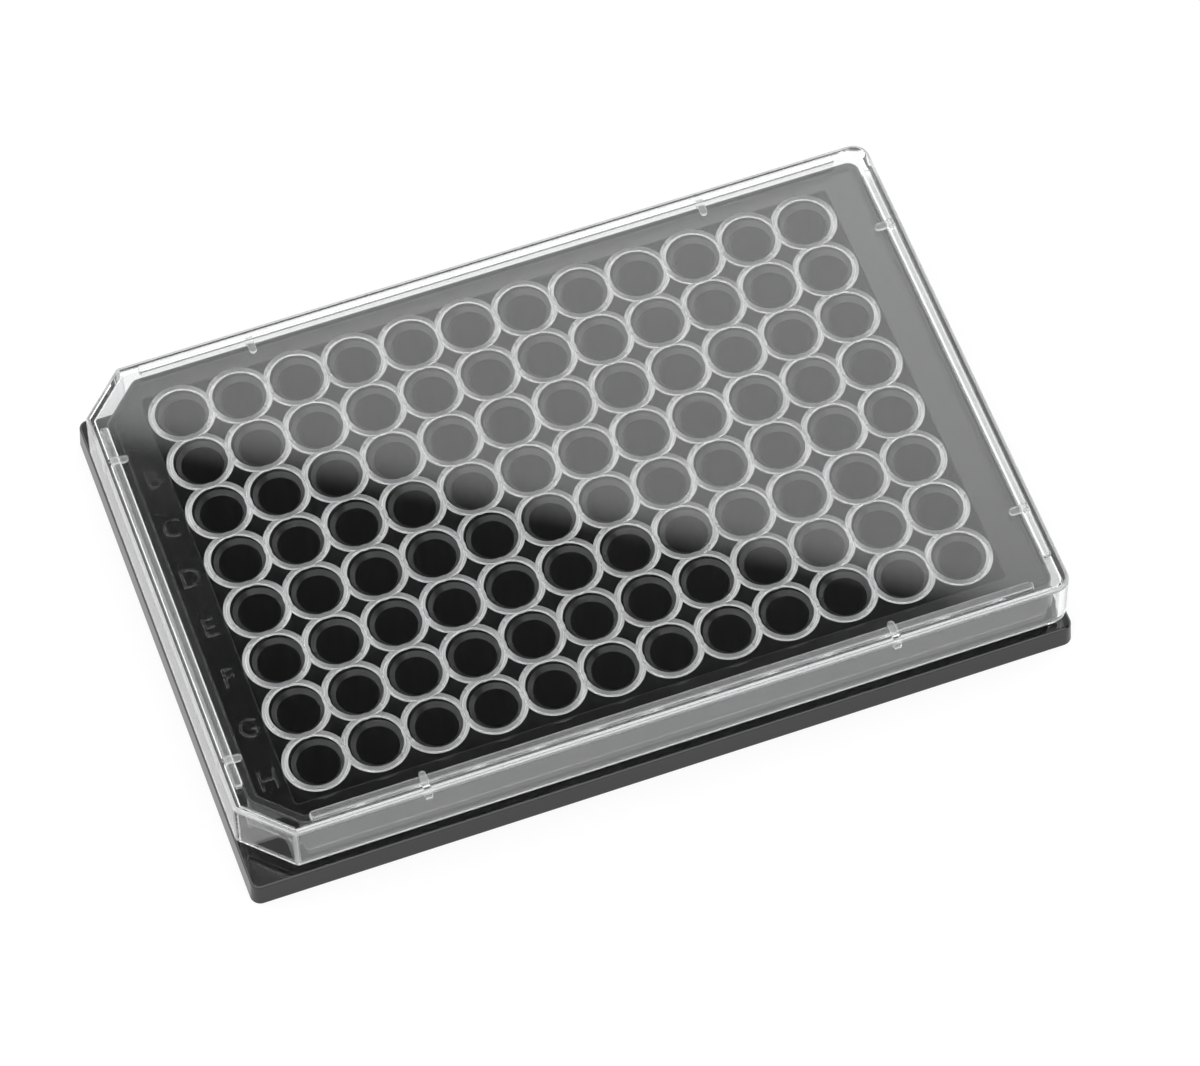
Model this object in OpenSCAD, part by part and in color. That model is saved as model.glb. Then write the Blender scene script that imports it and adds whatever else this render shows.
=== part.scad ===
// A 96-well microplate in black plastic with its clear lid resting on it.
// The plate stands on the bottom edge of its flange, on z = 0, with its length along X.
// Row A is at the back and column 1 at the left, where both corners are clipped.

/* [Flange] */
// Length of the flange, the widest part of the plate
flange_len = 127.76; // [127.5:0.01:130]
// Width of the flange
flange_wid = 85.48; // [85:0.01:90]
// Height of the flange's side above the surface it stands on
flange_h = 4.4; // [2.5:0.1:6]
// How far the flange's side leans in between its bottom and its top
flange_draft = 0.25; // [0:0.05:0.8]
// Corner radius of the flange at its foot
flange_r = 1.6; // [1.4:0.1:3.2]

/* [Plate] */
// Height of the plate, to the top of its rim
plate_h = 14.35; // [13.5:0.05:16]
// Length of the plate's upper body, over its rim
body_len = 121.8; // [118:0.1:122]
// Width of the plate's upper body, over its rim
body_wid = 80.4; // [77:0.1:80.6]
// How far the side walls lean out between the rim and the flange
body_draft = 0.45; // [0:0.05:0.5]
// Leg of the clipped corners at column 1
body_clip = 6.2; // [5:0.1:8]
// Corner radius of the upper body at column 12
body_r = 1.8; // [1.8:0.1:4]
// Thickness of the walls, the ledge and the deck
wall = 1.2; // [0.8:0.1:1.5]
// Width of the raised rim round the deck
rim_w = 1.3; // [0.8:0.1:1.4]
// Depth of the deck's margin below the rim
margin_drop = 0.45; // [0.2:0.05:0.7]
// Depth of the wells' field below the rim
field_drop = 0.75; // [0.5:0.05:1.2]

/* [Wells] */
// Number of columns
columns = 12; // [8:1:12]
// Number of rows
rows = 8; // [4:1:8]
// Distance between the centres of neighbouring wells
pitch = 9; // [8.7:0.1:9.2]
// Diameter of a well at its mouth
mouth_d = 6.6; // [6.2:0.1:6.9]
// Diameter of a well at its floor
floor_d = 6.3; // [5.8:0.1:6.6]
// Depth of a well below its lip
well_depth = 10.9; // [9:0.1:11.5]
// Thickness of a well's wall and floor
well_wall = 0.8; // [0.6:0.05:0.9]
// Diameter of the raised lip round a well's mouth
lip_d = 8; // [7.6:0.1:8.4]
// Depth of the lip's top below the rim
lip_drop = 0.35; // [0.2:0.05:0.6]

/* [Lid] */
// Length of the lid at its top
lid_len = 126.6; // [125.8:0.1:127]
// Width of the lid at its top
lid_wid = 84.5; // [83.8:0.1:84.8]
// Height of the lid, from its skirt's lower edge to its flat top
lid_h = 9.2; // [6:0.1:10]
// Leg of the lid's clipped corners
lid_clip = 7; // [5:0.1:8]
// Corner radius of the lid's other two corners
lid_r = 2.6; // [2.4:0.1:4]
// Thickness of the lid's top
panel_t = 1.1; // [0.8:0.05:1.4]
// Thickness of the lid's skirt
skirt_t = 1.1; // [0.8:0.05:1.3]
// How far the skirt leans out at its lower edge
skirt_draft = 0.1; // [0:0.05:0.3]
// Radius of the edge between the lid's top and its skirt
edge_r = 0.6; // [0.3:0.05:0.9]
// How far the lid has slid to the left, within its play
lid_slide = 0.25; // [0:0.05:0.5]

/* [Lid rings and ribs] */
// Outer diameter of the ring that hangs over each well
ring_od = 10; // [9.4:0.1:10.4]
// Inner diameter of that ring
ring_id = 7.8; // [7:0.1:8.4]
// How far the rings hang below the lid's top
ring_drop = 0.5; // [0.2:0.05:0.6]
// Height of the stacking ribs on the lid
stack_h = 0.8; // [0.4:0.05:1.2]
// Width of the stacking ribs
stack_w = 1.4; // [0.8:0.1:1.6]
// Distance of the stacking ribs from the lid's edge
stack_inset = 1.2; // [0.9:0.05:1.6]
// Distance of a stacking rib's end from a clipped corner
stack_end_clip = 2.9; // [2:0.1:6]
// Distance of a stacking rib's end from a square corner
stack_end = 5.7; // [4:0.1:8]
// Width of the eight seat ribs under the lid
seat_w = 1.1; // [0.8:0.1:1.6]
// How far a seat rib reaches in from the lid's edge
seat_reach = 4; // [3:0.1:5]
// Distance of the front and back seat ribs from the middle
seat_x = 36; // [20:1:45]
// Distance of the side seat ribs from the middle
seat_y = 27; // [15:1:30]

/* [Hidden] */
$fn = 48;

foot_t = 1.3;        // thickness of the flange's wall at its foot
blunt = 0.35;        // radius on the plate's outer edges
field_edge = 0.6;    // how far the wells' field runs past the outermost wells' squares
mouth_bevel = 0.25;  // bevel at a well's mouth
seat_h = 0.65;       // height of the seat ribs, which keep the lid's top off the rim
lug_play_x = 0.75;   // play between the rim and the lugs of the side seat ribs
lug_play_y = 0.2;    // the same at the front and the back
lug_drop = 1.1;      // how far a lug reaches down beside the rim
axis_gap = 0.2;      // how close a side's section comes to the axis of the corner's bend
bite = 0.05;         // how far one form runs into the next, so that they join
over = 1;            // how far a cutting form runs past what it cuts

lid_z = plate_h + seat_h;   // underside of the lid's top
lid_top = lid_z + panel_t;
lid_bottom = lid_top - lid_h;
lip_z = plate_h - lip_drop;
deck_z = plate_h - field_drop;
well_floor = lip_z - well_depth;
well_xs = [for (c = [0 : columns - 1]) (c - (columns - 1) / 2) * pitch];
well_ys = [for (r = [0 : rows - 1]) (r - (rows - 1) / 2) * pitch];

// Section of a side: x is outward from the outline at its top, y is height. It leans out by
// draft towards its foot, is rounded by edge at its top, and reaches in by depth.
module side_section(depth, z0, z1, draft, edge) {
    polygon([[-depth, z0], [draft, z0], [0, z1 - edge], [-edge, z1], [-depth, z1]]);
    if (edge > 0)
        translate([-edge, z1 - edge]) circle(r = edge);
}

// The children's section, carried round a rectangle with bent corners
module carry_round(hx, hy, r) {
    for (side = [[hx, hy, 0], [hy, hx, 90], [hx, hy, 180], [hy, hx, 270]])
        rotate([0, 0, side[2]]) {
            translate([side[0], side[1] - r, 0])
                rotate([90, 0, 0]) linear_extrude(2 * (side[1] - r)) children();
            translate([side[0] - r, side[1] - r, 0])
                rotate_extrude(angle = 90) translate([r, 0]) children();
        }
}

// A block with leaning sides, bent corners and a rounded upper edge; len, wid and r are at its top
module block(len, wid, r, z0, z1, draft = 0, edge = 0) {
    carry_round(len / 2, wid / 2, r) side_section(r - axis_gap, z0, z1, draft, edge);
    translate([(r - len) / 2, (r - wid) / 2, z0]) cube([len - r, wid - r, z1 - z0]);
}

// One side of the clip: everything behind a leaning plane at 45 degrees to the front or the back
module clip_side(len, wid, clip, z0, z1, draft, edge, back) {
    reach = len + wid;
    rotate([0, 0, back ? 135 : 225])
        translate([(len / 2 + wid / 2 - clip) / sqrt(2), reach, 0])
            rotate([90, 0, 0]) linear_extrude(2 * reach) side_section(2 * reach, z0, z1, draft, edge);
}

// The same block with both of its left corners clipped. The clips' upper edges are rounded a
// little less, so that no more than three surfaces meet at a corner.
module clipped_block(len, wid, r, clip, z0, z1, draft = 0, edge = 0) {
    clip_edge = max(edge - bite, 0);
    intersection() {
        block(len, wid, r, z0, z1, draft, edge);
        clip_side(len, wid, clip, z0, z1, draft, clip_edge, false);
        clip_side(len, wid, clip, z0, z1, draft, clip_edge, true);
    }
}

// The leg of a clip whose three sides all lie a distance d inside another clip's
function clip_in(clip, d) = clip - (2 - sqrt(2)) * d;

// The plate's upper body, moved in by d all round
module body_block(d, z0, z1, draft = 0, edge = 0) {
    clipped_block(body_len - 2 * d, body_wid - 2 * d, body_r - d, clip_in(body_clip, d), z0, z1, draft, edge);
}

// Puts its child at every well
module at_wells() {
    for (x = well_xs, y = well_ys) translate([x, y, 0]) children();
}

// Flange and upper body, hollow underneath, with the deck sunk inside its rim
module shell() {
    field_x = pitch * columns / 2 + field_edge;
    field_y = pitch * rows / 2 + field_edge;
    difference() {
        union() {
            block(flange_len - 2 * flange_draft, flange_wid - 2 * flange_draft, flange_r - flange_draft,
                0, flange_h, flange_draft, blunt);
            body_block(0, flange_h - wall / 2, plate_h, body_draft, blunt);
        }
        block(flange_len - 2 * (flange_draft + foot_t), flange_wid - 2 * (flange_draft + foot_t),
            flange_r - foot_t / 2, -over, flange_h - wall, flange_draft);
        body_block(wall, 0, deck_z - wall, body_draft);
        body_block(rim_w, plate_h - margin_drop, plate_h + over);
        translate([-field_x, -field_y, deck_z]) cube([2 * field_x, 2 * field_y, field_drop + over]);
    }
}

// The cup of one well, with its raised lip
module cup() {
    translate([0, 0, well_floor - well_wall])
        cylinder(d1 = floor_d + 2 * well_wall, d2 = mouth_d + 2 * well_wall,
            h = deck_z - bite - well_floor + well_wall);
    translate([0, 0, deck_z - wall / 2]) cylinder(d = lip_d, h = lip_z - deck_z + wall / 2);
}

// The hollow of one well, bevelled at its mouth
module hollow() {
    translate([0, 0, well_floor]) cylinder(d1 = floor_d, d2 = mouth_d, h = well_depth);
    translate([0, 0, lip_z - mouth_bevel])
        cylinder(d1 = mouth_d - bite, d2 = mouth_d + 3 * mouth_bevel, h = 2 * mouth_bevel);
}

module plate() {
    color([0.06, 0.06, 0.065]) difference() {
        union() {
            shell();
            at_wells() cup();
        }
        at_wells() hollow();
    }
}

// The lid's top and its skirt
module cover() {
    difference() {
        clipped_block(lid_len, lid_wid, lid_r, lid_clip, lid_bottom, lid_top, skirt_draft, edge_r);
        clipped_block(lid_len - 2 * skirt_t, lid_wid - 2 * skirt_t, lid_r - skirt_t,
            clip_in(lid_clip, skirt_t), lid_bottom - over, lid_z, skirt_draft);
    }
}

// The rings over the wells run into one another and make one net
module rings() {
    translate([0, 0, lid_z - ring_drop]) difference() {
        at_wells() cylinder(d = ring_od, h = ring_drop + bite);
        at_wells() translate([0, 0, -over]) cylinder(d = ring_id, h = ring_drop + bite + 2 * over);
    }
}

// Four low ribs on top keep a plate that is stacked on the lid in its place
module stacking_ribs() {
    hx = lid_len / 2;
    hy = lid_wid / 2;
    left = lid_clip + stack_end_clip - hx;
    right = hx - stack_end;
    side = hy - lid_clip - stack_end_clip;
    translate([0, 0, lid_top - bite]) {
        for (y = [stack_inset - hy, hy - stack_inset - stack_w])
            translate([left, y, 0]) cube([right - left, stack_w, stack_h + bite]);
        translate([stack_inset - hx, -side, 0]) cube([stack_w, 2 * side, stack_h + bite]);
        translate([hx - stack_inset - stack_w, stack_end - hy, 0])
            cube([stack_w, 2 * (hy - stack_end), stack_h + bite]);
    }
}

// One seat rib, along X: it rests on the plate's rim, and its lug hangs down beside the rim
// and centres the lid. The skirt's inner face is at skirt_in, the lug's at lug_in.
module seat_rib(skirt_in, lug_in) {
    inner = skirt_in + skirt_t - seat_reach + seat_w / 2;
    outer = skirt_in + bite;
    translate([inner, -seat_w / 2, plate_h]) cube([outer - inner, seat_w, seat_h + bite]);
    translate([inner, 0, plate_h]) cylinder(d = seat_w, h = seat_h + bite);
    translate([lug_in, -seat_w / 2, plate_h - lug_drop]) cube([outer - lug_in, seat_w, lug_drop + bite]);
}

module seat_ribs() {
    for (a = [0, 180], y = [-seat_y, seat_y])
        rotate([0, 0, a]) translate([0, y, 0])
            seat_rib(lid_len / 2 - skirt_t, body_len / 2 + lug_play_x);
    for (a = [90, 270], x = [-seat_x, seat_x])
        rotate([0, 0, a]) translate([0, x, 0])
            seat_rib(lid_wid / 2 - skirt_t, body_wid / 2 + lug_play_y);
}

module lid() {
    color([0.9, 0.92, 0.93, 0.35]) translate([-lid_slide, 0, 0]) {
        cover();
        rings();
        stacking_ribs();
        seat_ribs();
    }
}

plate();
lid();
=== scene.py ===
# %% [markdown]
# # A 96-well plate with its lid
# The part is a laboratory microplate: a black moulded tray with eight rows of twelve wells,
# and a clear lid that lies loose on it. The solids of the part come in with the frame and
# fix its overall sizes and its place. This script dresses them: it makes each form again
# with the rounded edges, fillets, flares and letters of the real mouldings, and gives each
# one its finish.

import math

import bmesh
import bpy
from mathutils import Matrix, Vector


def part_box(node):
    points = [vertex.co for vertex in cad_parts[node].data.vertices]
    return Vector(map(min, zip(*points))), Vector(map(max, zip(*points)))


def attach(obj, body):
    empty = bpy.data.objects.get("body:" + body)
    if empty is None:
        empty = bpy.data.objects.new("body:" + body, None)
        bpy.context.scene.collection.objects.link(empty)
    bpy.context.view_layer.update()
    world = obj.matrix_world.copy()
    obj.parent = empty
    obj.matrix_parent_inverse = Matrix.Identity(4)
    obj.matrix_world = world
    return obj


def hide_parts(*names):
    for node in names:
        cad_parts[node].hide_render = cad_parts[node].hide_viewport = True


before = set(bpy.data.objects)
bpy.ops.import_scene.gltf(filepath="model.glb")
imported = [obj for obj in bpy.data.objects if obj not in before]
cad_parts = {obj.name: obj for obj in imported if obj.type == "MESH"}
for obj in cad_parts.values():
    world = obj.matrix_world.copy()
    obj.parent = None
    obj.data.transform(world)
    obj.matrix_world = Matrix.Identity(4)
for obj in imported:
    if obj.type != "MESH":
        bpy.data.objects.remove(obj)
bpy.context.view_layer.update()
plate_low, plate_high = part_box("plate")
lid_low, lid_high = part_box("lid")
print("plate from", tuple(plate_low), "to", tuple(plate_high))
print("lid from", tuple(lid_low), "to", tuple(lid_high))

# %% [markdown]
# ## Sizes
# Everything is modelled in millimetres, because that is how such a plate is drawn, and each
# finished mesh is brought to metres once. The overall sizes are read off the solids, and
# the rest are the plate's own wall thicknesses, steps and radii.

# %% Sizes in millimetres
MM, TINY = 0.001, 0.01
FLANGE_X, FLANGE_Y = (plate_high - plate_low).xy / MM
PLATE_TOP = plate_high.z / MM
FLANGE_H, FLANGE_DRAFT, FLANGE_BEND, FLANGE_FOOT = 4.4, 0.25, 1.6, 1.3
BODY_X, BODY_Y, BODY_CLIP, BODY_BEND, BODY_DRAFT = 121.8, 80.4, 6.2, 1.8, 0.45
WALL, RIM, MARGIN_DROP, FIELD_DROP = 1.2, 1.3, 0.45, 0.75
MARGIN_Z = PLATE_TOP - MARGIN_DROP
DECK_Z = PLATE_TOP - FIELD_DROP
COLUMNS, ROWS, PITCH = 12, 8, 9.0
FIELD_X, FIELD_Y = COLUMNS * PITCH / 2 + 0.6, ROWS * PITCH / 2 + 0.6
MOUTH_R, FLOOR_R, FLARE_R, FLARE_H, LIP_R = 3.15, 3.05, 3.9, 0.5, 4.05
WELL_WALL, WELL_DEPTH = 0.8, 11.2
LIP_Z = PLATE_TOP
WELL_FLOOR = LIP_Z - WELL_DEPTH
FLARE_FOOT = LIP_Z - FLARE_H - 0.1

STACK_H, PANEL, SKIRT, SKIRT_DRAFT, LID_H = 0.8, 1.1, 1.1, 0.1, 9.2
LID_X = (lid_high - lid_low).x / MM - 2 * SKIRT_DRAFT
LID_Y = (lid_high - lid_low).y / MM - 2 * SKIRT_DRAFT
LID_MIDDLE = (lid_high + lid_low).x / 2 / MM
LID_TOP = lid_high.z / MM - STACK_H
LID_UNDER = LID_TOP - PANEL
LID_FOOT = LID_TOP - LID_H
LID_CLIP, LID_BEND, CLIP_BEND = 7.0, 2.6, 1.6
RING_R, RING_HALF, RING_DROP = 4.55, 0.5, 0.5
SEAT_W, SEAT_REACH, SEAT_X, SEAT_Y, LUG_DROP = 1.1, 4.0, 36.0, 27.0, 1.1
LUG_PLAY_X, LUG_PLAY_Y = 0.75, 0.2
print(f"flange {FLANGE_X:.2f} x {FLANGE_Y:.2f}, rim at {PLATE_TOP:.2f}, lid {LID_X:.2f} x {LID_Y:.2f}")


# %% [markdown]
# ## Making blocks from an outline and a section
# A moulded tray is mostly an outline with bent corners and a section that runs round it. So
# each main form is one section carried round one outline, with a flat cap at either end,
# which gives clean edge radii and a closed mesh. A round form is the same thing with a
# circle for its outline.

# %% Outlines and sections
def outline(length, width, bend, clip=0.0, clip_bend=CLIP_BEND):
    """Corners of a rectangle as (x, y, bend), anticlockwise, with the left two clipped."""
    hx, hy = length / 2, width / 2
    if not clip:
        return [(-hx, -hy, bend), (hx, -hy, bend), (hx, hy, bend), (-hx, hy, bend)]
    return [
        (clip - hx, -hy, clip_bend),
        (hx, -hy, bend),
        (hx, hy, bend),
        (clip - hx, hy, clip_bend),
        (-hx, hy - clip, clip_bend),
        (-hx, clip - hy, clip_bend),
    ]


def stations(corners, step=math.radians(7.5)):
    """(axis, direction outward, bend) at each step round an outline's bends."""
    found = []
    for i, (x, y, bend) in enumerate(corners):
        here = Vector((x, y))
        before = (here - Vector(corners[i - 1][:2])).normalized()
        after = (Vector(corners[(i + 1) % len(corners)][:2]) - here).normalized()
        turn = math.atan2(before.x * after.y - before.y * after.x, before.dot(after))
        axis = here - before * bend * math.tan(turn / 2) + Vector((-before.y, before.x)) * bend
        start = math.atan2(-before.x, before.y)
        count = max(round(turn / step), 1)
        for k in range(count + 1):
            angle = start + turn * k / count
            found.append((axis, Vector((math.cos(angle), math.sin(angle))), bend))
    return found


def circle(segments):
    """The same for a circle round the origin, so that a section's first number is a radius."""
    angles = (2 * math.pi * k / segments for k in range(segments))
    return [(Vector((0, 0)), Vector((math.cos(a), math.sin(a))), 0.0) for a in angles]


def arc(d, z, radius, start, end, count):
    """Section points on an arc about (d, z), with angles in degrees from outward to up."""
    angles = (math.radians(start + (end - start) * k / count) for k in range(count + 1))
    return [(d + radius * math.cos(a), z + radius * math.sin(a)) for a in angles]


def inset(clip, d):
    """The leg of a clip whose three sides all lie d inside another clip's."""
    return clip - (2 - math.sqrt(2)) * d


def link(name, mesh):
    """A new object on a mesh or a text, in the scene."""
    made = bpy.data.objects.new(name, mesh)
    bpy.context.scene.collection.objects.link(made)
    return made


def carry(name, places, section, hoop=False):
    """A closed mesh: a section of (out, z) points carried round the places. Without hoop the
    section is open, bottom first, and gets a flat cap at each end."""
    bm = bmesh.new()
    rows = [
        [bm.verts.new((*(axis + out * (bend + d)), z)) for d, z in section]
        for axis, out, bend in places
    ]
    points = len(section)
    for here, there in zip(rows, rows[1:] + rows[:1]):
        for k in range(points if hoop else points - 1):
            up = (k + 1) % points
            bm.faces.new((here[k], there[k], there[up], here[up]))
    if not hoop:
        bm.faces.new([row[0] for row in reversed(rows)])
        bm.faces.new([row[-1] for row in rows])
    mesh = bpy.data.meshes.new(name)
    bm.to_mesh(mesh)
    bm.free()
    return link(name, mesh)


print("stations round the lid:", len(stations(outline(LID_X, LID_Y, LID_BEND, LID_CLIP))))


# %% [markdown]
# ## Joining and cutting
# The mould's parts run into one another, so the blocks are joined and cut as solids, and
# the clear lid in particular has to be one closed skin, or light would meet walls inside
# it that aren't there.

# %% Solid operations
def settle(made):
    """Applies an object's modifiers, so that it is a plain mesh."""
    graph = bpy.context.evaluated_depsgraph_get()
    old = made.data
    mesh = bpy.data.meshes.new_from_object(made.evaluated_get(graph))
    made.modifiers.clear()
    made.data = mesh
    bpy.data.meshes.remove(old)
    return made


def combine(base, operation, *others):
    """Joins other closed meshes to this one, or cuts them out of it, and removes them."""
    for other in others:
        step = base.modifiers.new(operation.lower(), "BOOLEAN")
        step.operation, step.solver, step.object = operation, "MANIFOLD", other
    settle(base)
    for other in others:
        bpy.data.meshes.remove(other.data)
    return base


# %% [markdown]
# ## The grid of wells
# What repeats at each well is set out by a Geometry Nodes tree, which takes the shape, the
# numbers of columns and rows, and their spacing. A grid of points stands for the wells, and
# a shape is put on each of them, or on every second one as on a chessboard, because shapes
# that touch one another are joined in two rounds.

# %% Well grid
def wire(tree, socket, value):
    """Sets a socket to a number, or links an output to it."""
    if isinstance(value, bpy.types.NodeSocket):
        tree.links.new(value, socket)
    else:
        socket.default_value = value


def calc(tree, operation, *values):
    """The result of a Math node on numbers or on other nodes' results."""
    node = tree.nodes.new("ShaderNodeMath")
    node.operation = operation
    for socket, value in zip(node.inputs, values):
        wire(tree, socket, value)
    return node.outputs[0]


def well_grid_tree():
    """Puts a shape at the wells: all of them, or every second one as on a chessboard."""
    tree = bpy.data.node_groups.new("well_grid", "GeometryNodeTree")
    face, nodes, links = tree.interface, tree.nodes, tree.links
    face.new_socket(name="Geometry", in_out="INPUT", socket_type="NodeSocketGeometry")
    for name, kind in (
        ("Shape", "Object"),
        ("Columns", "Int"),
        ("Rows", "Int"),
        ("Pitch", "Float"),
        ("Every", "Int"),
        ("Offset", "Int"),
        ("Material", "Material"),
    ):
        face.new_socket(name=name, in_out="INPUT", socket_type="NodeSocket" + kind)
    face.new_socket(name="Geometry", in_out="OUTPUT", socket_type="NodeSocketGeometry")
    given = nodes.new("NodeGroupInput")
    columns, rows, pitch = (given.outputs[n] for n in ("Columns", "Rows", "Pitch"))
    grid = nodes.new("GeometryNodeMeshGrid")
    for side, count, size in (("X", columns, "Size X"), ("Y", rows, "Size Y")):
        span = calc(tree, "MULTIPLY", calc(tree, "SUBTRACT", count, 1), pitch)
        links.new(span, grid.inputs[size])
        links.new(count, grid.inputs["Vertices " + side])
    index = nodes.new("GeometryNodeInputIndex").outputs[0]
    column = calc(tree, "FLOOR", calc(tree, "DIVIDE", calc(tree, "ADD", index, 0.5), rows))
    row = calc(tree, "MODULO", index, rows)
    place = calc(tree, "MODULO", calc(tree, "ADD", column, row), given.outputs["Every"])
    chosen = calc(tree, "COMPARE", place, given.outputs["Offset"], 0.1)
    shape = nodes.new("GeometryNodeObjectInfo")
    links.new(given.outputs["Shape"], shape.inputs["Object"])
    put = nodes.new("GeometryNodeInstanceOnPoints")
    links.new(grid.outputs["Mesh"], put.inputs["Points"])
    links.new(chosen, put.inputs["Selection"])
    links.new(shape.outputs["Geometry"], put.inputs["Instance"])
    real = nodes.new("GeometryNodeRealizeInstances")
    finish = nodes.new("GeometryNodeSetMaterial")
    links.new(put.outputs["Instances"], real.inputs["Geometry"])
    links.new(real.outputs["Geometry"], finish.inputs["Geometry"])
    links.new(given.outputs["Material"], finish.inputs["Material"])
    links.new(finish.outputs["Geometry"], nodes.new("NodeGroupOutput").inputs["Geometry"])
    return tree


WELL_GRID = well_grid_tree()


def at_wells(name, shape, material, every=1, offset=0):
    """One mesh with the shape at every well, or at every second one."""
    made = link(name, bpy.data.meshes.new(name))
    step = made.modifiers.new("well_grid", "NODES")
    step.node_group = WELL_GRID
    values = {
        "Shape": shape,
        "Columns": COLUMNS,
        "Rows": ROWS,
        "Pitch": PITCH,
        "Every": every,
        "Offset": offset,
        "Material": material,
    }
    for socket in WELL_GRID.interface.items_tree:
        if socket.in_out == "INPUT" and socket.name in values:
            step[socket.identifier] = values[socket.name]
    shape.hide_render = True
    return settle(made)


print("nodes of the grid:", len(WELL_GRID.nodes))

# %% [markdown]
# ## Shading and handing over
# On a moulding with small roundings a face that is flat should stay flat to the eye, and the
# roundings should run out into it. So the level faces keep their own normals and pass them
# on to the roundings beside them. Then the mesh is brought to metres, gets its finish and
# takes its place in the frame.

# %% Shading and placing
LEVEL, STEEP = 0.9999, 0.75


def smooth(made, angle=35):
    """Smooth shading in which a flat stays flat and a rounding runs out into it."""
    mesh = made.data
    mesh.shade_smooth()
    mesh.set_sharp_from_angle(angle=math.radians(angle))
    step = made.modifiers.new("normals", "WEIGHTED_NORMAL")
    step.keep_sharp = True
    step.weight = 90
    settle(made)
    mesh = made.data
    level = {}
    for face in mesh.polygons:
        if abs(face.normal.z) > LEVEL:
            for v in face.vertices:
                level.setdefault(v, set()).add(1 if face.normal.z > 0 else -1)
    normals = [Vector(n.vector) for n in mesh.corner_normals]
    for face in mesh.polygons:
        side = 1 if face.normal.z > 0 else -1
        if abs(face.normal.z) < STEEP:
            continue
        flat = abs(face.normal.z) > LEVEL
        for k in face.loop_indices:
            if flat or side in level.get(mesh.loops[k].vertex_index, ()):
                normals[k] = Vector((0, 0, side))
    mesh.normals_split_custom_set(normals)
    return made


def piece(made, material, node):
    """Brings a finished mesh to metres, gives it its finish and sets it in the frame."""
    made.data.transform(Matrix.Scale(MM, 4))
    made.data.materials.clear()
    made.data.materials.append(material)
    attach(made, "root")
    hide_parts(node)
    triangles = sum(len(face.vertices) - 2 for face in made.data.polygons)
    print(made.name, "triangles:", triangles, "size mm:", [round(v / MM, 2) for v in made.dimensions])
    return made


# %% [markdown]
# ## Finishes
# Both mouldings are polystyrene. The black one carries a fine satin grain from the mould,
# with slightly glossier and duller patches and the faintest change of shade. The field of
# the wells has a duller grain. The walls of the wells, their flares, the rim and the step
# round the field are rougher and painted paler, a painted highlight where light falls on
# them. The clear one is polished, with a very slight waviness. Its rounded edges and its
# ribs are a little hazed, and the net of rings is frosted. The patches and the grain come
# from one shared shader group, so that they have the same character everywhere.

# %% Shared shader group
def new_group(name, inputs, outputs):
    """An empty shader group, with the sockets that its nodes take from and give to."""
    tree = bpy.data.node_groups.new(name, "ShaderNodeTree")
    for way, sockets in (("INPUT", inputs), ("OUTPUT", outputs)):
        for label, kind in sockets:
            tree.interface.new_socket(name=label, in_out=way, socket_type="NodeSocket" + kind)
    return tree, tree.nodes.new("NodeGroupInput").outputs, tree.nodes.new("NodeGroupOutput").inputs


def remap(tree, value, low, high, to_low, to_high, ease="LINEAR"):
    """A value moved from one range to another, and held at the ends of the new one."""
    node = tree.nodes.new("ShaderNodeMapRange")
    node.interpolation_type = ease
    for socket, item in zip(node.inputs, (value, low, high, to_low, to_high)):
        wire(tree, socket, item)
    return node.outputs[0]


def noise(tree, place, scale, detail=2.0, rough=0.5):
    """Soft patches of the given number to the metre."""
    node = tree.nodes.new("ShaderNodeTexNoise")
    values = {"Vector": place, "Scale": scale, "Detail": detail, "Roughness": rough}
    for label, value in values.items():
        wire(tree, node.inputs[label], value)
    return node.outputs["Fac"]


def moulded_group():
    """Patches, grain and flow of a moulded surface, from object coordinates in metres."""
    tree, given, out = new_group(
        "moulded_surface",
        [("Place", "Vector"), ("Grain", "Float"), ("Rough low", "Float"), ("Rough high", "Float")],
        [("Roughness", "Float"), ("Height", "Float"), ("Shade", "Float")],
    )
    patches = noise(tree, given["Place"], 95.0, 3.0, 0.55)
    grain = noise(tree, given["Place"], given["Grain"], 2.0, 0.6)
    flow = noise(tree, given["Place"], 22.0, 1.0, 0.4)
    broad, fine = calc(tree, "MULTIPLY", patches, 0.7), calc(tree, "MULTIPLY", grain, 0.3)
    mottled = calc(tree, "ADD", broad, fine)
    rough = remap(tree, mottled, 0.35, 0.65, given["Rough low"], given["Rough high"])
    tree.links.new(rough, out["Roughness"])
    tree.links.new(calc(tree, "ADD", grain, calc(tree, "MULTIPLY", flow, 6.0)), out["Height"])
    tree.links.new(remap(tree, flow, 0.3, 0.7, 0.85, 1.15), out["Shade"])
    return tree


MOULDED = moulded_group()
print("nodes of the shared group:", len(MOULDED.nodes))

# %% [markdown]
# ## One material for each finish
# Every finish is the shared group with its own size of grain, range of roughness and depth
# of relief. A black finish adds its colour and how strongly its skin mirrors, and a clear
# one how much of the light goes through. Colour alone doesn't tell these parts from one
# another: the roughness does.

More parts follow.
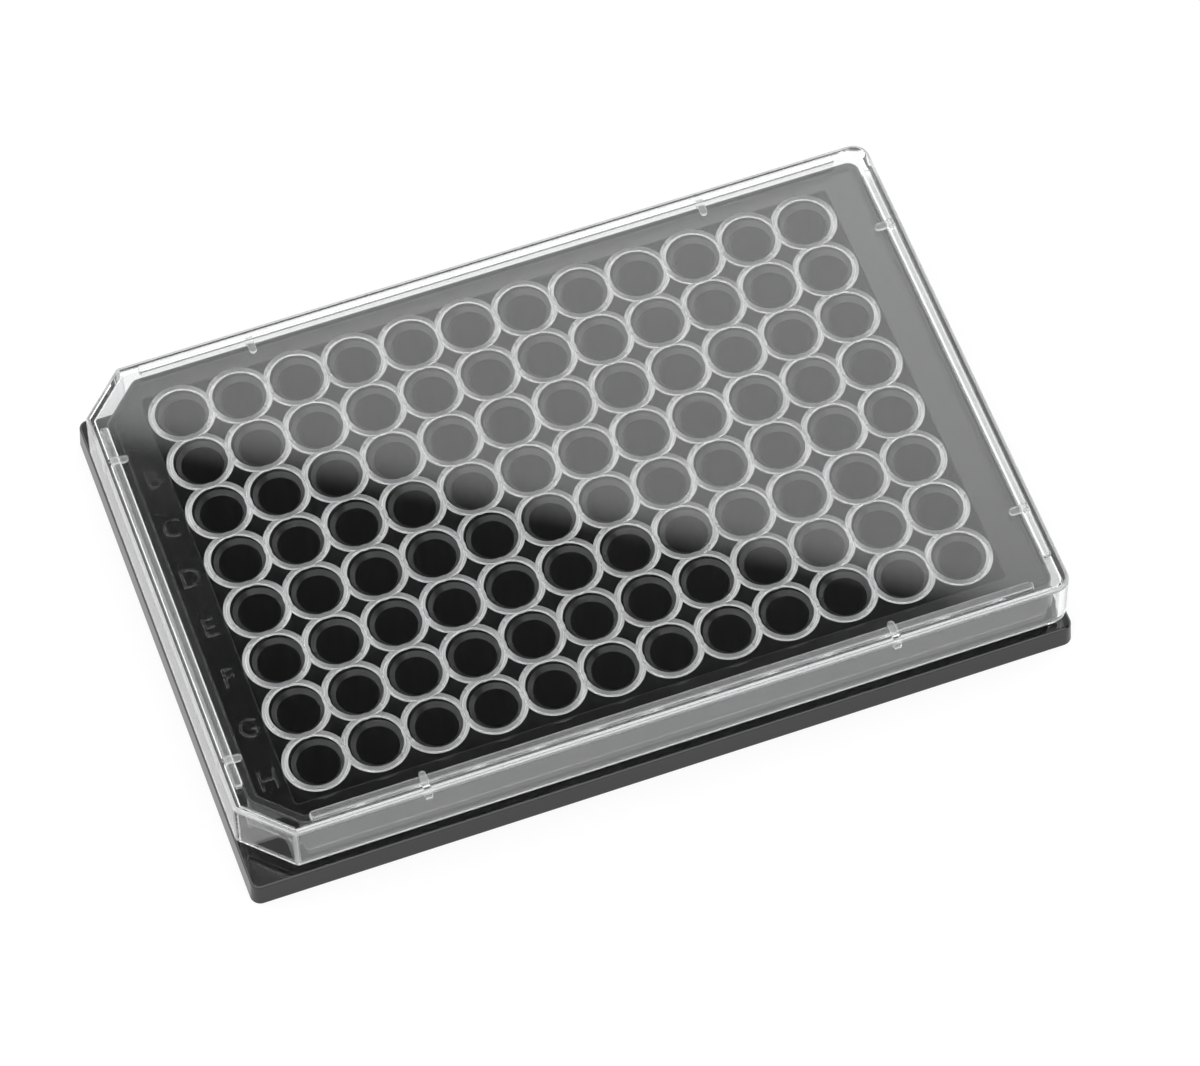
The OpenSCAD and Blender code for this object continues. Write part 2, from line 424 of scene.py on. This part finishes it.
# %% Materials
def material(name, grain, rough, bump, colour=None):
    """A material on the shared group. Returns it with its Principled node. rough is the
    range of its roughness, and bump the strength and the height in mm of its grain."""
    made = bpy.data.materials.new(name)
    made.use_nodes = True
    tree = made.node_tree
    shader = tree.nodes["Principled BSDF"]
    surface = tree.nodes.new("ShaderNodeGroup")
    surface.node_tree = MOULDED
    place = tree.nodes.new("ShaderNodeTexCoord").outputs["Object"]
    values = {"Place": place, "Grain": grain, "Rough low": rough[0], "Rough high": rough[1]}
    for label, value in values.items():
        wire(tree, surface.inputs[label], value)
    tree.links.new(surface.outputs["Roughness"], shader.inputs["Roughness"])
    relief = tree.nodes.new("ShaderNodeBump")
    relief.inputs["Strength"].default_value = bump[0]
    relief.inputs["Distance"].default_value = bump[1] * MM
    tree.links.new(surface.outputs["Height"], relief.inputs["Height"])
    tree.links.new(relief.outputs["Normal"], shader.inputs["Normal"])
    if colour:
        tint = tree.nodes.new("ShaderNodeMix")
        tint.data_type, tint.blend_type = "RGBA", "MULTIPLY"
        tint.inputs[0].default_value = 1.0
        tint.inputs[6].default_value = (*colour, 1.0)
        tree.links.new(surface.outputs["Shade"], tint.inputs[7])
        tree.links.new(tint.outputs[2], shader.inputs["Base Color"])
    return made, shader


STYRENE_IOR, GRAINED_IOR = 1.59, 1.5
WATER_CLEAR = (0.985, 0.992, 0.995)


def black(name, grain, rough, bump, colour, ior=STYRENE_IOR, gloss=0.5):
    """A black finish. gloss is how strongly its skin mirrors, with 0.5 for the bare plastic."""
    made, shader = material(name, grain, rough, bump, colour)
    shader.inputs["IOR"].default_value = ior
    shader.inputs["Specular IOR Level"].default_value = gloss
    return made


def clear(name, grain, rough, bump, passes=1.0, tint=WATER_CLEAR):
    """A clear finish. passes is the share of the light that goes through: the rest is haze."""
    made, shader = material(name, grain, rough, bump)
    shader.inputs["IOR"].default_value = STYRENE_IOR
    shader.inputs["Transmission Weight"].default_value = passes
    shader.inputs["Base Color"].default_value = (*tint, 1.0)
    return made


SATIN_BLACK = black(
    "black_polystyrene", 5200.0, (0.06, 0.11), (0.2, 0.003), (0.004, 0.004, 0.0044)
)
GRAINED_BLACK = black(
    "grained_black_polystyrene",
    7000.0,
    (0.12, 0.18),
    (0.3, 0.003),
    (0.003, 0.003, 0.0032),
    ior=GRAINED_IOR,
    gloss=0.06,
)
# Painted highlight: a black paler than the others, so that the rim, the step round the field and the far
# walls of the wells look lit. It is also rougher.
PAINTED_LIGHT_BLACK = black(
    "painted_light_black_polystyrene", 3000.0, (0.28, 0.38), (0.2, 0.002), (0.01, 0.01, 0.0105), gloss=0.35
)
CLEAR = clear("clear_polystyrene", 1500.0, (0.0, 0.02), (0.05, 0.002))
SOFT = clear("hazed_polystyrene", 6000.0, (0.35, 0.45), (0.1, 0.002), 0.93, (0.9, 0.905, 0.91))
RIBBED = clear("fine_hazed_polystyrene", 6000.0, (0.17, 0.25), (0.1, 0.002), 0.93, (0.92, 0.925, 0.93))
FROSTED = clear("frosted_polystyrene", 6000.0, (0.4, 0.5), (0.1, 0.002), 0.8)
print("black:", [m.name for m in (SATIN_BLACK, GRAINED_BLACK, PAINTED_LIGHT_BLACK)])
print("clear:", [m.name for m in (CLEAR, SOFT, RIBBED, FROSTED)])

# %% [markdown]
# ## The plate's body
# The tray is moulded in one: a low flange that fits a standard instrument, and above it a
# smaller hollow body whose two corners at column 1 are clipped, so that nobody turns the
# plate round. Its deck lies a little below a narrow rim, and the field of the wells lies
# lower still, with a thin step all round it. Blocks with rounded edges are joined, and the
# hollow underside, the sunk margin and the field's window are cut out.

# %% Body of the plate
def block(name, length, width, bend, z0, z1, draft=0.0, edge=0.0, foot=0.0, clip=0.0):
    """A block whose sides lean out by draft to the foot, with both edges rounded."""
    section = [(draft, z0)]
    if foot:
        section = arc(draft - foot, z0 + foot, foot, -90, 0, 2)
    section += arc(-edge, z1 - edge, edge, 0, 90, 4) if edge else [(0.0, z1)]
    return carry(name, stations(outline(length, width, bend, clip)), section)


BLUNT, FOOT_BLUNT, HOLLOW_BLUNT, BITE = 0.35, 0.15, 0.3, 0.05
flange_top_x, flange_top_y = FLANGE_X - 2 * FLANGE_DRAFT, FLANGE_Y - 2 * FLANGE_DRAFT
body = block(
    "plate_body",
    flange_top_x,
    flange_top_y,
    FLANGE_BEND - FLANGE_DRAFT,
    0.0,
    FLANGE_H,
    FLANGE_DRAFT,
    BLUNT,
    FOOT_BLUNT,
)
upper = block(
    "upper", BODY_X, BODY_Y, BODY_BEND, FLANGE_H - WALL / 2, PLATE_TOP, BODY_DRAFT, BLUNT, clip=BODY_CLIP
)
flange_hollow = block(
    "flange_hollow",
    flange_top_x - 2 * FLANGE_FOOT,
    flange_top_y - 2 * FLANGE_FOOT,
    FLANGE_BEND - FLANGE_DRAFT - FLANGE_FOOT / 2,
    -1.0,
    FLANGE_H - WALL,
    FLANGE_DRAFT,
    HOLLOW_BLUNT,
)
body_hollow = block(
    "body_hollow",
    BODY_X - 2 * WALL,
    BODY_Y - 2 * WALL,
    BODY_BEND - WALL,
    1.0,
    DECK_Z - WALL,
    BODY_DRAFT,
    HOLLOW_BLUNT,
    clip=inset(BODY_CLIP, WALL),
)
RIM_CLIP_BEND, RIM_ROUND, FIELD_BEND, STEP_ROUND = 0.9, 0.2, 0.6, 0.24
# The margin's and the field's cutters: each has one round at its edge with the level above
margin = carry(
    "margin",
    stations(
        outline(BODY_X - 2 * RIM, BODY_Y - 2 * RIM, BODY_BEND - RIM, inset(BODY_CLIP, RIM), RIM_CLIP_BEND)
    ),
    arc(-RIM_ROUND, MARGIN_Z + RIM_ROUND, RIM_ROUND, -90, 0, 3)
    + arc(RIM_ROUND, PLATE_TOP - RIM_ROUND, RIM_ROUND, 180, 90, 3)
    + [(RIM_ROUND, PLATE_TOP + 1)],
)
window = carry(
    "window",
    stations(outline(2 * FIELD_X, 2 * FIELD_Y, FIELD_BEND)),
    [(0.0, DECK_Z - 2 * WALL)]
    + arc(STEP_ROUND, MARGIN_Z - STEP_ROUND, STEP_ROUND, 180, 90, 4)
    + [(STEP_ROUND, MARGIN_Z + 1)],
)
combine(body, "UNION", upper)
combine(body, "DIFFERENCE", flange_hollow, body_hollow, margin, window)
piece(smooth(body), SATIN_BLACK, "plate")

# %% [markdown]
# ## The rim's dull skin and painted highlight
# The top of the rim and the rounded step round the field are a little duller than the rest,
# and painted paler, a painted highlight, which is how they stand out as thin lines under the
# lid. One piece can carry several finishes, and each face chooses one of them by its height and its slope.

# %% Rim and step
# The rim's top and the step get the paler black: a painted highlight.
body.data.materials.append(PAINTED_LIGHT_BLACK)
for face in body.data.polygons:
    height, up = face.center.z / MM, face.normal.z
    step = DECK_Z < height < MARGIN_Z - TINY / 10 and 0.1 < up < 0.99
    rim_top = height > PLATE_TOP - TINY and up > 0.9
    if step or rim_top:
        face.material_index = 1
print("faces of the rim and the step:", sum(face.material_index for face in body.data.polygons))

# %% [markdown]
# ## The wells
# The wells hang from the deck as separate cups with flat floors, and each mouth has a lip
# that rises to the height of the rim and keeps drops from running to the next well. One cup
# and one hollow are turned, set out on the 9 mm grid, and joined to and cut from the field's
# slab. The mouth flares out to its lip, and the flare and the wall below it are duller than
# the field and painted paler, a painted highlight, so that each well shows a pale crescent
# on its far side where light falls into it.

# %% Field and wells
ROUND, NEAR = 40, 0.02
FLOOR_BEND, CUP_BEVEL, LIP_BLUNT = 0.5, 0.4, 0.08
field = carry(
    "wells",
    stations(outline(2 * (FIELD_X + BITE), 2 * (FIELD_Y + BITE), FIELD_BEND + BITE)),
    [(0.0, DECK_Z - WALL + BITE), (0.0, DECK_Z)],
)
cup_bottom = WELL_FLOOR - WELL_WALL
cup = carry(
    "cup",
    circle(ROUND),
    [
        (FLOOR_R + WELL_WALL - CUP_BEVEL, cup_bottom),
        (FLOOR_R + WELL_WALL, cup_bottom + CUP_BEVEL),
        (MOUTH_R + WELL_WALL, DECK_Z - WALL / 2),
        (LIP_R, DECK_Z - WALL / 2 + 0.1),
        (LIP_R, LIP_Z - LIP_BLUNT),
        (LIP_R - LIP_BLUNT / 4, LIP_Z - LIP_BLUNT / 4),
        (LIP_R - LIP_BLUNT, LIP_Z),
    ],
)
hollow = carry(
    "hollow",
    circle(ROUND),
    arc(FLOOR_R - FLOOR_BEND, WELL_FLOOR + FLOOR_BEND, FLOOR_BEND, -90, 0, 3)
    + [(MOUTH_R, FLARE_FOOT), (MOUTH_R + 0.06, LIP_Z - FLARE_H + 0.02)]
    + [(FLARE_R - 0.04, LIP_Z - 0.06), (FLARE_R + NEAR, LIP_Z), (FLARE_R + NEAR, LIP_Z + 1)],
)
cups = at_wells("cups", cup, GRAINED_BLACK)
hollows = at_wells("hollows", hollow, GRAINED_BLACK)
combine(field, "UNION", cups)
combine(field, "DIFFERENCE", hollows)
for spare in (cup, hollow):
    bpy.data.meshes.remove(spare.data)
piece(smooth(field), GRAINED_BLACK, "plate")

# %% [markdown]
# ## The painted highlight in the wells
# The flare and the wall of each well are chosen by how far they lie from the well's axis,
# which the remainder of a division by the spacing gives for all wells at once. They get the
# paler black, a painted highlight for the light on each well's far side.

# %% Walls of the wells
# The flares and walls of the wells get the paler black: a painted highlight.
field.data.materials.append(PAINTED_LIGHT_BLACK)
for face in field.data.polygons:
    place = face.center / MM
    off_axis = math.hypot(place.x % PITCH - PITCH / 2, place.y % PITCH - PITCH / 2)
    level = abs(face.normal.z)
    flare = off_axis < FLARE_R + NEAR and place.z > FLARE_FOOT and level < 0.95
    wall = off_axis < MOUTH_R + NEAR and level < 0.3
    if flare or wall:
        face.material_index = 1
print("faces of the wells' walls:", sum(face.material_index for face in field.data.polygons))

# %% [markdown]
# ## Letters and numbers
# The rows are lettered A to H on the left margin and the columns are numbered 1 to 12 along
# the back margin, as on every plate of this format. They are raised a fifth of a millimetre
# and have no ink, so only their edges show.

# %% Raised characters
LETTER_H, NUMBER_H, RAISED = 3.3, 1.7, 0.2
THICK, ROUNDED = 0.006, 0.04


def characters(name, words, height, weight=0.0):
    """Raised characters as one mesh. words are (text, x, y) with the place of the middle,
    and weight makes the strokes thicker, or thinner below 0, in shares of the type's size."""
    parts = bmesh.new()
    for word, x, y in words:
        curve = bpy.data.curves.new(name, "FONT")
        curve.body, curve.size = word, 1.0
        curve.align_x, curve.align_y = "CENTER", "CENTER"
        curve.resolution_u = 3
        curve.offset = weight
        curve.extrude, curve.bevel_depth, curve.bevel_resolution = THICK, ROUNDED, 2
        text = link(name, curve)
        graph = bpy.context.evaluated_depsgraph_get()
        mesh = bpy.data.meshes.new_from_object(text.evaluated_get(graph))
        bpy.data.objects.remove(text)
        bpy.data.curves.remove(curve)
        low = Vector([min(v.co[k] for v in mesh.vertices) for k in range(3)])
        high = Vector([max(v.co[k] for v in mesh.vertices) for k in range(3)])
        scale = height / (high.y - low.y)
        middle = (high + low) / 2
        size = Matrix.Diagonal((scale, scale, 2 * RAISED / (high.z - low.z), 1))
        mesh.transform(Matrix.Translation((x, y, MARGIN_Z)) @ size @ Matrix.Translation(-middle))
        parts.from_mesh(mesh)
        bpy.data.meshes.remove(mesh)
    mesh = bpy.data.meshes.new(name)
    parts.to_mesh(mesh)
    parts.free()
    return link(name, mesh)


margin_x = (FIELD_X + BODY_X / 2 - RIM) / 2
margin_y = (FIELD_Y + BODY_Y / 2 - RIM) / 2
row_y = [((ROWS - 1) / 2 - k) * PITCH for k in range(ROWS)]
column_x = [(k - (COLUMNS - 1) / 2) * PITCH for k in range(COLUMNS)]
rows = [("ABCDEFGH"[k], -margin_x, y) for k, y in enumerate(row_y)]
columns = [(str(k + 1), x, margin_y) for k, x in enumerate(column_x)]
letters = characters("row_letters", rows, LETTER_H, -0.03)
numbers = characters("column_numbers", columns, NUMBER_H)
for raised in (letters, numbers):
    piece(smooth(raised, 50), SATIN_BLACK, "plate")

# %% [markdown]
# ## The lid
# The lid is one clear moulding: a flat top with a rounded edge, and a skirt that hangs over
# the plate down to just above its flange. It is made as a solid block with the inside cut
# out, so that its wall is the same all round.

# %% Lid
EDGE, FOOT_EDGE, FILLET = 0.6, 0.2, 0.3
OUTER_CLIP_BEND, INNER_CLIP_BEND = 0.75, 0.45
lid = carry(
    "lid_cover",
    stations(outline(LID_X, LID_Y, LID_BEND, LID_CLIP, OUTER_CLIP_BEND), math.radians(9)),
    arc(SKIRT_DRAFT - FOOT_EDGE, LID_FOOT + FOOT_EDGE, FOOT_EDGE, -90, 0, 3)
    + arc(-EDGE, LID_TOP - EDGE, EDGE, 0, 90, 6),
)
inside = carry(
    "inside",
    stations(
        outline(
            LID_X - 2 * SKIRT, LID_Y - 2 * SKIRT, LID_BEND - SKIRT, inset(LID_CLIP, SKIRT), INNER_CLIP_BEND
        ),
        math.radians(9),
    ),
    [(SKIRT_DRAFT + FOOT_EDGE, LID_FOOT - 1)]
    + arc(SKIRT_DRAFT + FOOT_EDGE, LID_FOOT + FOOT_EDGE, FOOT_EDGE, -90, -180, 3)
    + arc(-FILLET, LID_UNDER - FILLET, FILLET, 0, 90, 4),
)
combine(lid, "DIFFERENCE", inside)
print("faces of the plain lid:", len(lid.data.polygons))

# %% [markdown]
# ## Rings
# Under the top a ring stands over each well, and neighbouring rings run together into a net,
# which keeps each well's damp air to itself. The rings go in two sets, as on a chessboard,
# so that no ring meets another of its own set before they are all joined to the lid.

# %% Rings under the lid
ROOT = 0.25
# A ring's section as shares of half its width and of its drop: a low ridge, steep on top
ridge = [(-1.0, 0.0), (-0.12, 0.94), (0.0, 1.0), (0.12, 0.94), (1.0, 0.0)]
ring = carry(
    "ring",
    circle(48),
    [(RING_R + RING_HALF, LID_UNDER + ROOT), (RING_R - RING_HALF, LID_UNDER + ROOT)]
    + [(RING_R + across * RING_HALF, LID_UNDER - deep * RING_DROP) for across, deep in ridge],
    hoop=True,
)
even = at_wells("even_rings", ring, CLEAR, every=2, offset=0)
odd = at_wells("odd_rings", ring, CLEAR, every=2, offset=1)
print("faces of the two sets of rings:", len(even.data.polygons), len(odd.data.polygons))

# %% [markdown]
# ## Ribs and lugs
# Four low ribs on top keep the next plate of a stack in its place. Eight small ribs under
# the top rest on the plate's rim, two to a side, and a lug behind each hangs beside the
# plate's wall and keeps the lid from sliding. They are short blocks with round ends, turned
# and shifted to their sides, and everything is then joined into one closed skin.

# %% Ribs and lugs
def rib(name, x0, x1, y0, y1, z0, z1, bends, edge=0.0, low_edge=0.0):
    """A low rib with the given bends at its left and right ends, blunt above or below."""
    left, right = bends
    corners = [(x0, y0, left), (x1, y0, right), (x1, y1, right), (x0, y1, left)]
    section = arc(-low_edge, z0 + low_edge, low_edge, -90, 0, 2) if low_edge else [(0, z0)]
    section += arc(-edge, z1 - edge, edge, 0, 90, 3) if edge else [(0, z1)]
    return carry(name, stations(corners, math.radians(15)), section)


def shift(made, x, y, z=0.0):
    """Moves a mesh, with its object left at the origin."""
    made.data.transform(Matrix.Translation((x, y, z)))
    return made


def turn(made, degrees):
    """Turns a mesh about the upright axis, with its object left unturned."""
    made.data.transform(Matrix.Rotation(math.radians(degrees), 4, "Z"))
    return made


half_x, half_y = LID_X / 2, LID_Y / 2
STACK_W, STACK_IN, END_CLIP, END, STACK_BEND, STACK_EDGE = 1.4, 1.2, 2.9, 5.7, 0.5, 0.4
side_x, side_y = half_x - STACK_IN, half_y - STACK_IN
stack_left, stack_right = LID_CLIP + END_CLIP - half_x, half_x - END
stack_side = half_y - LID_CLIP - END_CLIP
ribs = [
    rib("stack", *span, LID_TOP - BITE, LID_TOP + STACK_H, (STACK_BEND, STACK_BEND), STACK_EDGE)
    for span in (
        (stack_left, stack_right, -side_y, STACK_W - side_y),
        (stack_left, stack_right, side_y - STACK_W, side_y),
        (-side_x, STACK_W - side_x, -stack_side, stack_side),
        (side_x - STACK_W, side_x, END - half_y, half_y - END),
    )
]
CLEARANCE = 0.01
for turned, reach, rim, play, seat_place in (
    (0, half_x, BODY_X / 2, LUG_PLAY_X, SEAT_Y),
    (90, half_y, BODY_Y / 2, LUG_PLAY_Y, SEAT_X),
):
    for back in (0, 180):
        for place in (-seat_place, seat_place):
            inner, outer = reach - SEAT_REACH, reach - SKIRT + BITE + 0.02
            seat = rib(
                "seat", inner, outer, -SEAT_W / 2, SEAT_W / 2, PLATE_TOP + CLEARANCE, LID_UNDER + BITE,
                (SEAT_W / 2 - 0.01, 0.02), low_edge=0.12,
            )
            lug = rib(
                "lug", rim + play, outer, -SEAT_W / 2 - 0.01, SEAT_W / 2 + 0.01, PLATE_TOP - LUG_DROP,
                PLATE_TOP + 0.4, (0.1, 0.02), low_edge=0.1,
            )
            for made in (seat, lug):
                ribs.append(turn(shift(made, 0, place), turned + back))
combine(lid, "UNION", even, odd, *ribs)
bpy.data.meshes.remove(ring.data)
shift(lid, LID_MIDDLE, 0)
piece(smooth(lid), CLEAR, "lid")

# %% [markdown]
# ## Haze on the lid
# A mould is polished by hand where it is flat and open, and stays duller in its grooves and
# corners. So the net of rings and the small ribs are frosted, and the rounded edges and the
# ribs on top are a little hazed, which makes them soft pale lines.

# %% Finishes of the lid
for finish in (FROSTED, SOFT, RIBBED):
    lid.data.materials.append(finish)
inner_x, inner_y = half_x - SKIRT - FILLET - 0.1, half_y - SKIRT - FILLET - 0.1
# The bends beside a clipped corner lie between walls that face 0, 45 and 90 degrees
bends = [[math.cos(math.radians(a)) for a in pair] for pair in ((42, 3), (87, 48))]
for face in lid.data.polygons:
    place, out = face.center / MM, face.normal
    under = PLATE_TOP < place.z < LID_UNDER - TINY
    net = under and abs(place.x - LID_MIDDLE) < inner_x and abs(place.y) < inner_y
    top_edge = LID_TOP - EDGE < place.z < LID_TOP - TINY / 2 and 0.05 < out.z < 0.999
    upright_bend = abs(out.z) < 0.05 and any(low < abs(out.x) < high for low, high in bends)
    clip_bend = place.x < 0 and upright_bend
    if place.z > LID_TOP + TINY:
        rib_end = abs(out.x) > 0.7 and abs(place.y) > stack_side + 1
        face.material_index = 1 if rib_end else 3
    elif net:
        face.material_index = 1
    elif top_edge or clip_bend:
        face.material_index = 2
kinds = [face.material_index for face in lid.data.polygons]
print("faces clear, frosted, hazed, ribs:", [kinds.count(k) for k in range(4)])

# %% [markdown]
# ## The table
# The plate stands on a plain white table. The table glows a little as well, like one that is
# lit from all sides, so its shadow is faint. What mirrors it sees it slightly darker, a painted
# shade for the table lying in the plate's shade close to it.

# %% Table
TABLE_R, TABLE_WHITE, TABLE_GLOW, TABLE_MIRRORED_SHADE, GLOW_SHARE = 4.0, 0.9, 1.1, 0.7, 0.72
bm = bmesh.new()
bmesh.ops.create_circle(bm, cap_ends=True, segments=96, radius=TABLE_R)
mesh = bpy.data.meshes.new("table")
bm.to_mesh(mesh)
bm.free()
table = link("table", mesh)

paint = bpy.data.materials.new("white_table")
paint.use_nodes = True
tree = paint.node_tree
tree.nodes.clear()
matt = tree.nodes.new("ShaderNodeBsdfDiffuse")
matt.inputs["Color"].default_value = (TABLE_WHITE, TABLE_WHITE, TABLE_WHITE, 1.0)
glow = tree.nodes.new("ShaderNodeEmission")
kept = tree.nodes.new("ShaderNodeMixShader")
kept.inputs[0].default_value = GLOW_SHARE
seen = tree.nodes.new("ShaderNodeLightPath")
passed = calc(tree, "SUBTRACT", 1.0, seen.outputs["Is Transmission Ray"])
mirrored = calc(tree, "MULTIPLY", seen.outputs["Is Glossy Ray"], passed)
# Reflections see the table's glow lowered: painted shade for the table close to the plate.
tree.links.new(remap(tree, mirrored, 0.0, 1.0, TABLE_GLOW, TABLE_MIRRORED_SHADE), glow.inputs["Strength"])
tree.links.new(matt.outputs[0], kept.inputs[1])
tree.links.new(glow.outputs[0], kept.inputs[2])
tree.links.new(kept.outputs[0], tree.nodes.new("ShaderNodeOutputMaterial").inputs["Surface"])
table.data.materials.append(paint)
print("table:", table.name, "radius", TABLE_R, "m")

# %% [markdown]
# ## The room
# The room is white, with one large soft light behind the plate to the right. The gloss of
# the lid and the deck shows the light's edge as a soft border, and the darker ceiling before
# it. The room is drawn in the world's nodes from the direction of each ray.

# %% Room
world = bpy.data.worlds.new("room")
bpy.context.scene.world = world
world.use_nodes = True
tree = world.node_tree
sky = tree.nodes["Background"]
sky.inputs["Color"].default_value = (1.0, 1.0, 1.0, 1.0)
place = tree.nodes.new("ShaderNodeSeparateXYZ")
tree.links.new(tree.nodes.new("ShaderNodeTexCoord").outputs["Generated"], place.inputs[0])
x, y, z = place.outputs


def along(kx, ky):
    """How far a direction in the room reaches towards (kx, ky)."""
    return calc(tree, "ADD", calc(tree, "MULTIPLY", x, kx), calc(tree, "MULTIPLY", y, ky))


# The large light is the part of the sky beyond a border, which bows a little to the left
BORDER_START, BORDER_END, LIGHT_FAR = 0.5146, 0.5232, 0.58
off_left = calc(tree, "SUBTRACT", x, 0.15)
off_left_squared = calc(tree, "MULTIPLY", off_left, off_left)
bow = calc(tree, "MINIMUM", calc(tree, "MULTIPLY", off_left_squared, 0.59), 0.02)
border = calc(tree, "ADD", along(0.471, 0.882), bow)
soft_edge = remap(tree, border, BORDER_START, BORDER_END, 0.0, 1.0, "SMOOTHSTEP")
brightness = remap(tree, border, BORDER_START, LIGHT_FAR, 1.42, 1.96)
softbox = calc(tree, "MULTIPLY", soft_edge, brightness)
# Bright walls stand on both sides of the strip of ceiling, and the horizon is white
off_axis = calc(tree, "ABSOLUTE", calc(tree, "SUBTRACT", along(0.91, 0.40), 0.353))
sides = remap(tree, off_axis, 0.15, 0.3, 0.0, 2.2, "SMOOTHSTEP")
ceiling = remap(tree, x, 0.1, 0.24, 0.07, 0.1)
horizon = remap(tree, z, 0.12, 0.42, 1.0, ceiling, "SMOOTHSTEP")
dome = calc(tree, "MAXIMUM", calc(tree, "MAXIMUM", softbox, sides), horizon)
# Matt surfaces get an even light, and the camera sees plain white behind the plate
DIFFUSE_LIGHT = 0.9
path = tree.nodes.new("ShaderNodeLightPath")
on_matt = calc(tree, "MULTIPLY", path.outputs["Is Diffuse Ray"], DIFFUSE_LIGHT)
even_light = calc(tree, "MAXIMUM", path.outputs["Is Camera Ray"], on_matt)
use_dome = calc(tree, "GREATER_THAN", even_light, 0.5)
strength = tree.nodes.new("ShaderNodeMix")
wire(tree, strength.inputs[0], use_dome)
wire(tree, strength.inputs[2], dome)
wire(tree, strength.inputs[3], even_light)
tree.links.new(strength.outputs[0], sky.inputs["Strength"])
print("nodes in the room:", len(tree.nodes))

# %% [markdown]
# ## The camera
# A long lens from above and a little to the left keeps the plate's sides almost parallel.
# Light has to pass many clear walls on its way through the rings, so it may bounce often.

# %% Camera and view
camera_data = bpy.data.cameras.new("camera")
camera = link("camera", camera_data)
camera.location = (-0.14452, -0.42950, 0.74090)
camera.rotation_euler = [math.radians(a) for a in (31.4963, 0.4899, -19.9651)]
camera_data.sensor_width = 36.0
camera_data.lens = 174.09
camera_data.clip_start, camera_data.clip_end = 0.01, 20.0
scene = bpy.context.scene
scene.camera = camera
scene.view_settings.view_transform = "Standard"
scene.cycles.max_bounces = 24
scene.cycles.transmission_bounces = 20
scene.cycles.glossy_bounces = 12
print("lens:", camera_data.lens, "mm")
